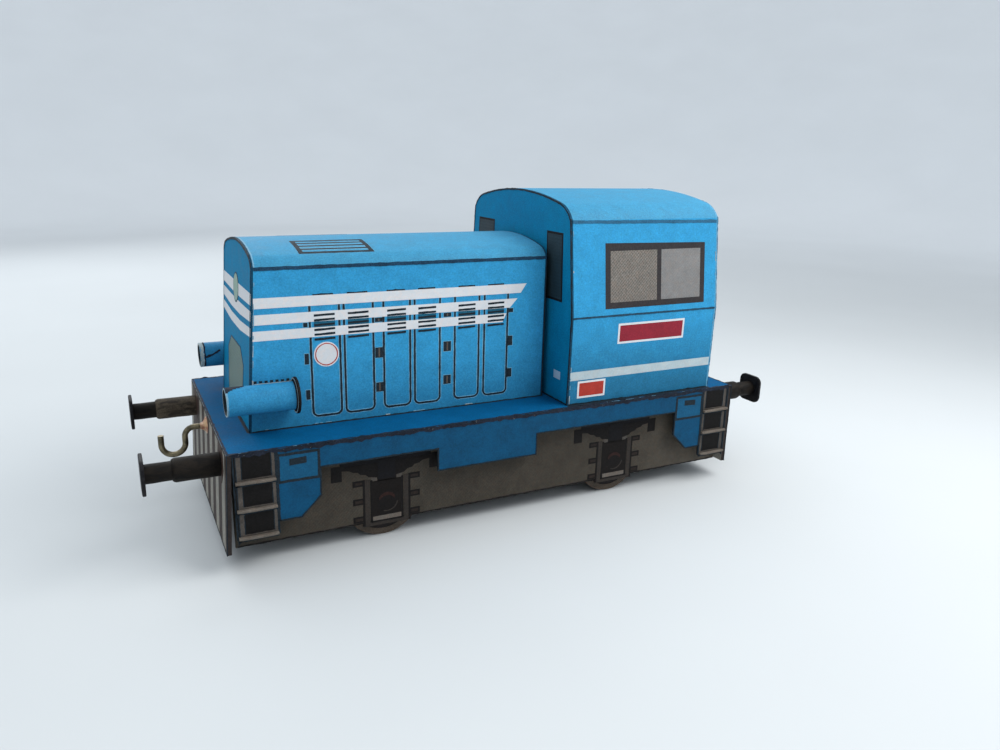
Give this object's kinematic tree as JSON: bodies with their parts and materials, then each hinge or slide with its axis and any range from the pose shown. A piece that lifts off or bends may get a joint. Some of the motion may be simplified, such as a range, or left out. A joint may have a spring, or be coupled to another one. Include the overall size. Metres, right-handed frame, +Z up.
{
  "type": "small card scale model of a two-axle diesel shunting locomotive",
  "caption": "Card model of a two-axle diesel shunter with a low hood, a closed cab, rolled card buffers, wire hooks and turning wheelsets.",
  "frame": {"origin": "on the rail, halfway between the buffer faces and midway across", "axes": "+X forwards to the hood end, +Y to the left side, +Z up"},
  "size_m": [0.0854, 0.0322, 0.0404],
  "materials": {
    "deck_card": "matt inkjet print on card, inked edges",
    "headstock_card": "matt black and white diagonal bands printed on card",
    "skirt_card": "matt inkjet print on card, inked edges",
    "step_card": "bare light card with grey print",
    "frame_card": "matt grey-beige print on card",
    "grey_board": "uncoated grey board",
    "hood_card": "matt inkjet print on card",
    "cab_card": "matt inkjet print on card",
    "lamp_card": "rolled printed card, pale ends",
    "buffer_card": "rolled card painted dark brown, rough",
    "hook_wire": "dull bent wire",
    "axle_wood": "bare round wood",
    "wheel_card": "laminated card disc, dark with a paler rim"
  },
  "bodies": {
    "root": {"deck": "deck_card", "headstock_front": "headstock_card", "headstock_rear": "headstock_card", "skirt_left": "skirt_card", "skirt_right": "skirt_card", "steps_left": "step_card", "steps_right": "step_card", "side_frame_left": "frame_card", "side_frame_right": "frame_card", "bearer_left": "grey_board", "bearer_right": "grey_board", "cross_formers": "grey_board", "hood_side_left": "hood_card", "hood_side_right": "hood_card", "hood_roof": "hood_card", "hood_front": "hood_card", "hood_rear": "hood_card", "cab_side_left": "cab_card", "cab_side_right": "cab_card", "cab_roof": "cab_card", "cab_front": "cab_card", "cab_rear": "cab_card", "headlamp_left": "lamp_card", "headlamp_right": "lamp_card", "buffer_barrels_front": "buffer_card", "buffer_barrels_rear": "buffer_card", "buffer_heads_front": "buffer_card", "buffer_heads_rear": "buffer_card", "hook_front": "hook_wire", "hook_rear": "hook_wire"},
    "front_wheelset": {"front_axle": "axle_wood", "front_wheel_left": "wheel_card", "front_wheel_right": "wheel_card"},
    "rear_wheelset": {"rear_axle": "axle_wood", "rear_wheel_left": "wheel_card", "rear_wheel_right": "wheel_card"}
  },
  "joints": [
    {"name": "front_wheelset_spin", "type": "hinge", "parent": "root", "child": "front_wheelset", "pos_m": [0.01665, 0, 0.0047], "axis": [0, 1, 0], "continuous": true},
    {"name": "rear_wheelset_spin", "type": "hinge", "parent": "root", "child": "rear_wheelset", "pos_m": [-0.01595, 0, 0.0047], "axis": [0, 1, 0], "continuous": true}
  ]
}
